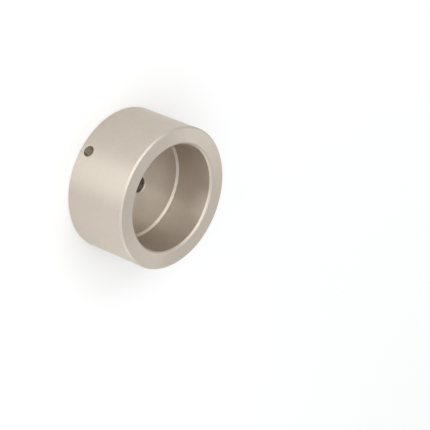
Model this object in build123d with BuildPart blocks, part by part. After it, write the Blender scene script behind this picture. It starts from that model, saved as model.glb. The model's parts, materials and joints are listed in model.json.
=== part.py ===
import os
from math import radians, tan

from build123d import *

# Socket for the end of a 63 mm pipe, which goes in through the mouth and stops on the floor
socket_radius = 31.5
socket_depth = 26.5
socket_corner_chamfer = 1.2

# Body: a thick ring wall on a thicker floor
wall_thickness = 10.5
floor_thickness = 14.8

# Chamfers on the edges: a wider one at the mouth leads the pipe in
mouth_edge_chamfer = 1.1
front_rim_chamfer = 1.0
back_rim_chamfer = 0.5

# Bolt hole through the middle of the floor
bolt_hole_radius = 4.5
bolt_hole_chamfer = 0.4

# Wrench hole in the side, drilled into the solid floor and short of the bolt hole
wrench_hole_radius = 3.2
wrench_hole_height = 6.0
wrench_hole_depth = 8.0
drill_point_angle = 118.0

# The back face lies on z = 0 and the mouth opens upwards
body_radius = socket_radius + wall_thickness
mouth_height = floor_thickness + socket_depth
drill_point_length = wrench_hole_radius / tan(radians(drill_point_angle / 2))

with BuildPart() as socket_die:
    # Turned form: half of the section, spun about the axis, with a chamfer cut at each of its corners
    corners = [
        ((bolt_hole_radius, 0), bolt_hole_chamfer),
        ((body_radius, 0), back_rim_chamfer),
        ((body_radius, mouth_height), front_rim_chamfer),
        ((socket_radius, mouth_height), mouth_edge_chamfer),
        ((socket_radius, floor_thickness), socket_corner_chamfer),
        ((bolt_hole_radius, floor_thickness), bolt_hole_chamfer),
    ]
    with BuildSketch(Plane.XZ) as half_section:
        with BuildLine():
            Polyline(*[corner for corner, _ in corners], close=True)
        make_face()
        for corner, size in corners:
            chamfer(half_section.vertices().sort_by_distance(corner)[0], size)
    revolve(axis=Axis.Z)

    # Wrench hole: square to the side wall, blind, with the cone that a drill leaves at its end
    with Locations(Plane(origin=(0, -body_radius, wrench_hole_height), z_dir=(0, -1, 0))):
        Hole(wrench_hole_radius, depth=wrench_hole_depth)
    with Locations(Plane(origin=(0, wrench_hole_depth - body_radius, wrench_hole_height), z_dir=(0, 1, 0))):
        Cone(
            wrench_hole_radius,
            0,
            drill_point_length,
            align=(Align.CENTER, Align.CENTER, Align.MIN),
            mode=Mode.SUBTRACT,
        )

socket_die.part.label = "socket_die"
os.makedirs("parts", exist_ok=True)
export_step(socket_die.part, "parts/socket_die.step")
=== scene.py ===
import json
import math

import bmesh
import bpy
from mathutils import Matrix, Quaternion, Vector


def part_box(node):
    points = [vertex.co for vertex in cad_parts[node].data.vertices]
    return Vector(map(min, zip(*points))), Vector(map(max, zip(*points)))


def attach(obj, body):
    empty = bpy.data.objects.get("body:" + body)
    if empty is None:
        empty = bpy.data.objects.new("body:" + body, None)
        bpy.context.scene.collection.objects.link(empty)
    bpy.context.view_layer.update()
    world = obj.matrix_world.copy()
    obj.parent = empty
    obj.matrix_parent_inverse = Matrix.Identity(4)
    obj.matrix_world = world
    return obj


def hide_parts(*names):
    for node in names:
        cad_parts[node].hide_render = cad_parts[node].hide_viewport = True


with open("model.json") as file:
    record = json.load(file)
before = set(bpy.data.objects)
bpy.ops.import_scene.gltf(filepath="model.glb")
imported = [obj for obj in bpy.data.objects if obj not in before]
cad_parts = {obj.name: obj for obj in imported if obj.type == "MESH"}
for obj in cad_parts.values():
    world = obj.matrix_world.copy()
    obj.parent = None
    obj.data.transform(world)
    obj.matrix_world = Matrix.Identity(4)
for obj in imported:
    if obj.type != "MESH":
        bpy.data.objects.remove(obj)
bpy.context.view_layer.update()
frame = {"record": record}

# Camera
# It looks down into the open mouth and across the wrench hole, from a little over a metre away.
# The die lies on its side in the picture and stands on its back face here, so the camera is rolled to match.
camera_lens = 160.6
camera_place = Vector((0.1383, -0.8315, 0.7096))
camera_aim = Vector((-0.0060, 0.0342, 0.0465))
camera_roll = math.radians(112.03)

camera_data = bpy.data.cameras.new("camera")
camera_data.lens = camera_lens
camera = bpy.data.objects.new("camera", camera_data)
bpy.context.scene.collection.objects.link(camera)
camera.location = camera_place
camera.rotation_mode = "QUATERNION"
look = (camera_aim - camera_place).to_track_quat("-Z", "Y")
camera.rotation_quaternion = look @ Quaternion((0, 0, 1), camera_roll)
bpy.context.scene.camera = camera


# Floor
# A plain sheet of matt white board, large enough to fill the picture behind the die.
floor_side = 6.0
floor_white = "#FAFAF9"


def linear(hex_colour):
    """The linear RGBA of an sRGB hex colour."""
    channels = [int(hex_colour[start : start + 2], 16) / 255 for start in (1, 3, 5)]
    return [c / 12.92 if c <= 0.04045 else ((c + 0.055) / 1.055) ** 2.4 for c in channels] + [1.0]


def node(tree, kind, links=(), **settings):
    """Adds a node, sets its properties and sockets by name, and links (socket, output) pairs into it."""
    added = tree.nodes.new(kind)
    for name, value in settings.items():
        if hasattr(added, name):
            setattr(added, name, value)
        else:
            added.inputs[name.replace("_", " ")].default_value = value
    for socket, output in links:
        tree.links.new(output, added.inputs[socket])
    return added


def new_material(name):
    """An empty node material and its tree."""
    material = bpy.data.materials.new(name)
    material.use_nodes = True
    material.node_tree.nodes.clear()
    return material, material.node_tree


floor_material, tree = new_material("white_board")
board = node(tree, "ShaderNodeBsdfDiffuse", Color=linear(floor_white))
node(tree, "ShaderNodeOutputMaterial", [("Surface", board.outputs[0])])

floor_mesh = bmesh.new()
bmesh.ops.create_grid(floor_mesh, x_segments=1, y_segments=1, size=floor_side / 2)
floor_data = bpy.data.meshes.new("floor")
floor_mesh.to_mesh(floor_data)
floor_mesh.free()
floor_data.materials.append(floor_material)
floor = bpy.data.objects.new("floor", floor_data)
bpy.context.scene.collection.objects.link(floor)


# World and lamps
# Soft studio light: white all round, as in a light tent, and five large panels that shape the round form.
# A panel has its azimuth, 0 at -Y and 90 at +X, its elevation, its width and height, and its power.
tent_white = "#FFFFFF"
world_level = 0.78
panel_white = "#F8FCFF"
panel_distance = 1.2
panel_aim = Vector((0, 0, 0.02))

world = bpy.data.worlds.new("studio")
world.use_nodes = True
tree = world.node_tree
tree.nodes.clear()
background = node(tree, "ShaderNodeBackground", Color=linear(tent_white), Strength=world_level)
node(tree, "ShaderNodeOutputWorld", [("Surface", background.outputs[0])])
bpy.context.scene.world = world

lamps = {
    "front_panel": (18, 7, 1.1, 0.26, 5.7),
    "side_panel": (95, 12, 1.6, 0.5, 3.3),
    "soft_panel": (-28, 48, 1.3, 0.6, 4.0),
    "high_panel": (32, 46, 1.2, 0.6, 1.3),
    "back_panel": (215, 34, 0.8, 0.35, 1.0),
}
for name, (azimuth, elevation, width, height, watts) in lamps.items():
    light = bpy.data.lights.new(name, "AREA")
    light.shape = "RECTANGLE"
    light.size = width
    light.size_y = height
    light.energy = watts
    light.color = linear(panel_white)[:3]
    lamp = bpy.data.objects.new(name, light)
    bpy.context.scene.collection.objects.link(lamp)
    turn = Matrix.Rotation(math.radians(azimuth), 3, "Z") @ Matrix.Rotation(math.radians(-elevation), 3, "X")
    way = turn @ Vector((0, -1, 0))
    lamp.location = panel_aim + way * panel_distance
    lamp.rotation_mode = "QUATERNION"
    lamp.rotation_quaternion = (-way).to_track_quat("-Z", "Y")
    lamp.visible_camera = False


# Die
# One heating die, turned from aluminium bar: a ring wall on a thick floor, bored out as the socket for
# the pipe's end, with a bolt hole through its middle and a blind hole in its side for the wrench's pin.
millimetre = 0.001
_, die_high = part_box("socket_die")
mounts = {mount["name"]: mount for mount in frame["record"]["mounts"]}
body_radius = die_high.x
mouth_height = die_high.z
floor_thickness = 14.8 * millimetre
socket_radius = mounts["pipe_socket"]["dims"]["r_mm"] * millimetre
socket_corner_chamfer = 1.2 * millimetre
mouth_chamfer = 1.25 * millimetre
mouth_softness = 0.4 * millimetre
front_rim_chamfer = 1.0 * millimetre
back_rim_chamfer = 0.5 * millimetre
bolt_hole_radius = mounts["bolt_hole"]["dims"]["r_mm"] * millimetre
bolt_hole_chamfer = 0.4 * millimetre
wrench_hole_radius = mounts["wrench_hole"]["dims"]["r_mm"] * millimetre
wrench_hole_depth = mounts["wrench_hole"]["dims"]["length_mm"] * millimetre
wrench_hole_height = mounts["wrench_hole"]["pos_m"][2]
wrench_hole_edge = 0.15 * millimetre
drill_point_angle = math.radians(118)

# The half section is a wire, which is spun about the axis. The wall has a band of small faces at the
# height of the wrench hole, so that a square patch can be taken out of it for the hole.
steps_round = 360
patch_steps = 16
patch_margin = 1.6 * millimetre
patch_low = wrench_hole_height - wrench_hole_radius - patch_margin
patch_high = wrench_hole_height + wrench_hole_radius + patch_margin

# Each corner of the section has its radius, its height, its chamfer, and how far the chamfer's own corners
# are rubbed soft, as they are at the mouth.
chamfer_steps = 1
soft_steps = 3
band_bottom = (body_radius, patch_low, 0, 0)
band_top = (body_radius, patch_high, 0, 0)
corners = [
    (bolt_hole_radius, 0, bolt_hole_chamfer, 0),
    (body_radius, 0, back_rim_chamfer, 0),
    band_bottom,
    band_top,
    (body_radius, mouth_height, front_rim_chamfer, 0),
    (socket_radius, mouth_height, mouth_chamfer, mouth_softness),
    (socket_radius, floor_thickness, socket_corner_chamfer, 0),
    (bolt_hole_radius, floor_thickness, bolt_hole_chamfer, 0),
]
body = bmesh.new()
corner_verts = [body.verts.new((radius, 0, height)) for radius, height, _, _ in corners]
sides = [body.edges.new(ends) for ends in zip(corner_verts, corner_verts[1:] + corner_verts[:1])]
band_side = sides[corners.index(band_bottom)]


def cut_off(verts, size, steps):
    """Cuts corners of the wire off and gives the new corners that this leaves."""
    cut = bmesh.ops.bevel(
        body,
        geom=verts,
        offset=size,
        segments=steps,
        profile=0.5,
        affect="VERTICES",
        material=-1,
    )
    return cut["verts"]


for corner, (_, _, chamfer, softness) in zip(corner_verts, corners):
    if chamfer:
        chamfer_ends = cut_off([corner], chamfer, chamfer_steps)
    if softness:
        cut_off(chamfer_ends, softness, soft_steps)
bmesh.ops.subdivide_edges(body, edges=[band_side], cuts=patch_steps - 1)
bmesh.ops.spin(
    body,
    geom=body.verts[:] + body.edges[:],
    cent=(0, 0, 0),
    axis=(0, 0, 1),
    angle=math.tau,
    steps=steps_round,
    use_merge=True,
)

# The sloping faces are the broken edges. They are rubbed smooth, so they take the coating without a lay.
least_slope = 0.05
greatest_slope = 0.995
edge_finish = 1
body.normal_update()
for face in body.faces:
    if least_slope < abs(face.normal.z) < greatest_slope:
        face.material_index = edge_finish

# The wrench hole: a square patch of the wall is taken out and bridged to the hole's round rim,
# which is drawn inwards to the drill's shoulder and closed at its point.
patch_half_width = body_radius * math.sin(math.tau * patch_steps / 2 / steps_round)
rings_in_patch = 3
hole_edge_steps = 2


def in_patch(face):
    """Whether a face of the outer wall lies in the square round the wrench hole."""
    middle = face.calc_center_median()
    on_hole_side = abs(middle.x) < patch_half_width and middle.y < -socket_radius
    return on_hole_side and patch_low < middle.z < patch_high


bmesh.ops.delete(body, geom=[face for face in body.faces if in_patch(face)], context="FACES")
border = [edge for edge in body.edges if edge.is_boundary]
side_on = Matrix.Translation((0, -body_radius, wrench_hole_height)) @ Matrix.Rotation(math.pi / 2, 4, "X")
rim_verts = bmesh.ops.create_circle(
    body,
    cap_ends=False,
    radius=wrench_hole_radius,
    segments=len(border),
    matrix=side_on,
)["verts"]
for vert in rim_verts:
    vert.co.y = -math.sqrt(body_radius**2 - vert.co.x**2)
rim = [edge for edge in body.edges if edge.is_wire]
spokes = bmesh.ops.bridge_loops(body, edges=border + rim)["edges"]
rings = bmesh.ops.subdivide_edges(body, edges=spokes, cuts=rings_in_patch)["geom_inner"]
for vert in [part for part in rings if isinstance(part, bmesh.types.BMVert)]:
    vert.co.xy = vert.co.xy.normalized() * body_radius
hole_wall = bmesh.ops.extrude_edge_only(body, edges=rim)["geom"]
for vert in [part for part in hole_wall if isinstance(part, bmesh.types.BMVert)]:
    vert.co.y = wrench_hole_depth - body_radius
shoulder = [part for part in hole_wall if isinstance(part, bmesh.types.BMEdge) and part.is_boundary]
drill_end = bmesh.ops.extrude_edge_only(body, edges=shoulder)["geom"]
drill_point = wrench_hole_depth - body_radius + wrench_hole_radius / math.tan(drill_point_angle / 2)
bmesh.ops.pointmerge(
    body,
    verts=[part for part in drill_end if isinstance(part, bmesh.types.BMVert)],
    merge_co=(0, drill_point, wrench_hole_height),
)
bmesh.ops.bevel(
    body,
    geom=rim,
    offset=wrench_hole_edge,
    segments=hole_edge_steps,
    profile=0.5,
    affect="EDGES",
    material=-1,
)
bmesh.ops.recalc_face_normals(body, faces=body.faces)

least_sharp_angle = math.radians(30)
die_data = bpy.data.meshes.new("coated_die")
body.to_mesh(die_data)
body.free()
die_data.shade_smooth()
die_data.set_sharp_from_angle(angle=least_sharp_angle)
die = bpy.data.objects.new("coated_die", die_data)
bpy.context.scene.collection.objects.link(die)
flat_faces = die.modifiers.new("flat_faces_stay_flat", "WEIGHTED_NORMAL")
flat_faces.keep_sharp = True


# Coating
# Non-stick fluoropolymer with fine metal pigment, sprayed thinly on the turned aluminium and baked. To the
# eye it is a warm champagne satin with a fine grain and no clear reflection. It follows the fine rings that
# turning leaves, so a highlight spreads across them and makes two faint fans on a flat face. The broken
# edges have no such rings, and their highlights are even thin lines.
champagne_light = "#CDC3B7"
champagne_dark = "#C7BDB1"
turned_roughness = 0.42
turned_lay = 0.75
broken_edge_roughness = 0.48
broken_edge_lay = 0
roughness_change = 0.03
# The tangent runs round the axis, and a quarter turn from it spreads a highlight across the rings.
quarter_turn = 0.25
# The real grit is about a tenth of this and too fine to show, so the grain is drawn as coarse as needed.
grain_size = 1.0 * millimetre
grain_depth = 0.018 * millimetre
grain_detail = 2.0
# The sprayed coat is a little thicker in some patches than in others.
spray_patch_size = 12 * millimetre
spray_detail = 1.0
spray_share = 0.35
# The noise seldom leaves this range, so the range is stretched over the two colours.
pattern_low = 0.3
pattern_high = 0.7
# A mix node has sockets of the same names for each kind of value, so they are taken by number.
mix_share = 0
mix_numbers = (2, 3)
mix_colours = (6, 7)
mixed_number = 0
mixed_colour = 2


def champagne_coating(name, satin_roughness, lay_strength):
    """The coating, on faces with a turned lay of some strength or with none."""
    coating, tree = new_material(name)
    place = node(tree, "ShaderNodeTexCoord").outputs["Object"]
    grain = node(
        tree,
        "ShaderNodeTexNoise",
        [("Vector", place)],
        Scale=1 / grain_size,
        Detail=grain_detail,
    )
    spray = node(
        tree,
        "ShaderNodeTexNoise",
        [("Vector", place)],
        Scale=1 / spray_patch_size,
        Detail=spray_detail,
    )
    noises = (grain.outputs[0], spray.outputs[0])
    pattern = node(tree, "ShaderNodeMix", zip(mix_numbers, noises))
    pattern.inputs[mix_share].default_value = spray_share
    spread = node(
        tree,
        "ShaderNodeMapRange",
        [("Value", pattern.outputs[mixed_number])],
        From_Min=pattern_low,
        From_Max=pattern_high,
    )
    colour = node(tree, "ShaderNodeMix", [(mix_share, spread.outputs[0])], data_type="RGBA")
    for socket, champagne in zip(mix_colours, (champagne_dark, champagne_light)):
        colour.inputs[socket].default_value = linear(champagne)
    roughness = node(
        tree,
        "ShaderNodeMapRange",
        [("Value", spread.outputs[0])],
        To_Min=satin_roughness + roughness_change,
        To_Max=satin_roughness - roughness_change,
    )
    bumps = node(tree, "ShaderNodeBump", [("Height", grain.outputs[0])], Distance=grain_depth)
    lay = node(tree, "ShaderNodeTangent", direction_type="RADIAL", axis="Z")
    surface = node(
        tree,
        "ShaderNodeBsdfPrincipled",
        [
            ("Base Color", colour.outputs[mixed_colour]),
            ("Roughness", roughness.outputs[0]),
            ("Normal", bumps.outputs[0]),
            ("Tangent", lay.outputs[0]),
        ],
        Metallic=1.0,
        Anisotropic=lay_strength,
        Anisotropic_Rotation=quarter_turn,
    )
    node(tree, "ShaderNodeOutputMaterial", [("Surface", surface.outputs[0])])
    return coating


on_turned_faces = champagne_coating("champagne_non_stick_coating", turned_roughness, turned_lay)
on_edges = champagne_coating("champagne_coating_on_edges", broken_edge_roughness, broken_edge_lay)
die_data.materials.append(on_turned_faces)
die_data.materials.append(on_edges)
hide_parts("socket_die")
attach(die, "root")


bpy.context.scene.view_settings.view_transform = "Standard"
